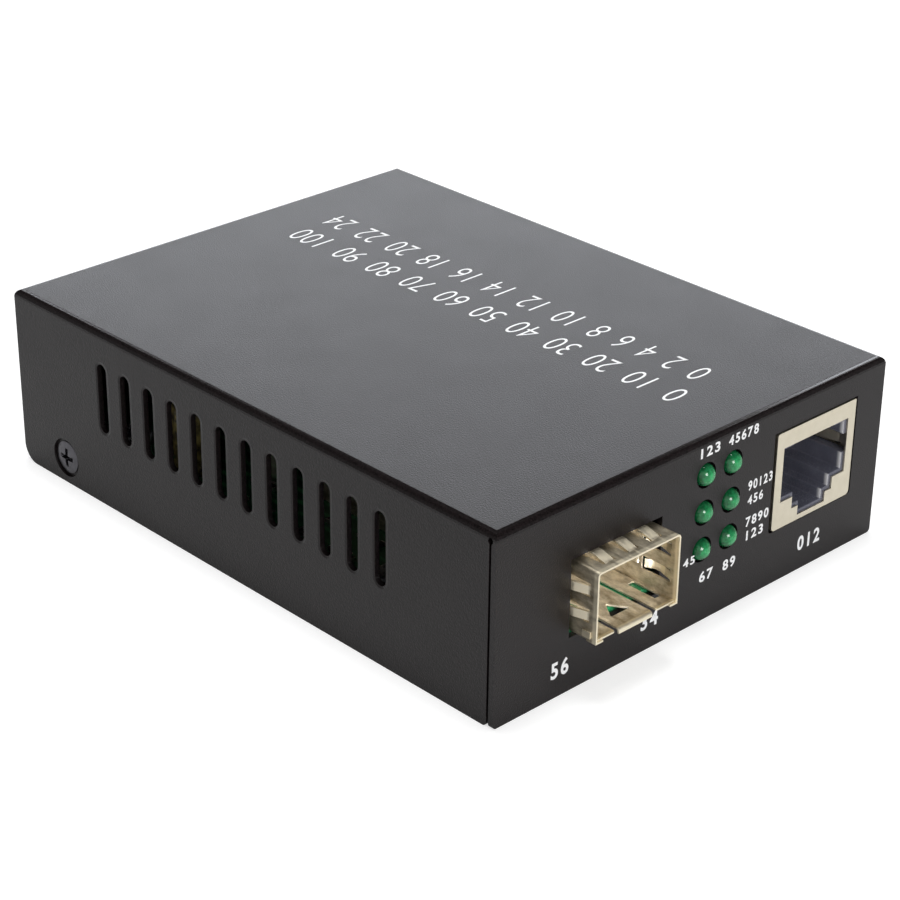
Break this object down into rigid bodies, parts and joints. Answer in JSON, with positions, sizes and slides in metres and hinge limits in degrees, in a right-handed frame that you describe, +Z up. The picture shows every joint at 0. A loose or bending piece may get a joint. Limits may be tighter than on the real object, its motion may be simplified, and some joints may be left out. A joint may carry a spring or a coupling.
{
  "type": "fibre media converter",
  "caption": "Low folded-steel desktop box with a copper network jack, a cage for a plug-in optical module, green indicator lamps, side vents and a rear power inlet.",
  "frame": {"origin": "middle of the case's underside, where the case rests on a desk", "axes": "+Z up, +Y towards the rear panel, +X to the right for someone facing the port panel"},
  "size_m": [0.071, 0.098, 0.026],
  "materials": {
    "black_powder_coat": "fine textured black powder coat",
    "black_screw": "black zinc plated",
    "zinc_steel": "zinc plated",
    "nickel_sheet": "nickel plated sheet",
    "green_board": "green solder mask on glass laminate",
    "black_moulding": "moulded black plastic",
    "slate_moulding": "moulded dark blue-grey plastic",
    "gold_contact": "gold plated",
    "green_lens": "tinted clear epoxy",
    "bare_aluminium": "satin",
    "grey_ferrite": "sintered ferrite"
  },
  "bodies": {
    "root": {"top_cover": "black_powder_coat", "base_tray": "black_powder_coat", "case_screw_left": "black_screw", "case_screw_right": "black_screw", "pcb": "green_board", "pcb_standoffs": "zinc_steel", "pcb_screws": "zinc_steel", "sfp_cage_shell": "nickel_sheet", "sfp_cage_floor": "nickel_sheet", "sfp_host_connector": "black_moulding", "sfp_contacts": "gold_contact", "rj45_shield": "nickel_sheet", "rj45_insert": "slate_moulding", "rj45_contacts": "gold_contact", "led_holder": "black_moulding", "indicator_lamp_1": "green_lens", "indicator_lamp_2": "green_lens", "indicator_lamp_3": "green_lens", "indicator_lamp_4": "green_lens", "indicator_lamp_5": "green_lens", "indicator_lamp_6": "green_lens", "dc_jack_body": "black_moulding", "dc_jack_pin": "nickel_sheet", "dc_jack_spring": "nickel_sheet", "line_transformer": "black_moulding", "converter_chip": "black_moulding", "heat_sink": "bare_aluminium", "crystal": "nickel_sheet", "capacitor_left": "bare_aluminium", "capacitor_rear": "bare_aluminium", "power_inductor": "grey_ferrite", "voltage_regulator": "black_moulding"}
  },
  "joints": []
}
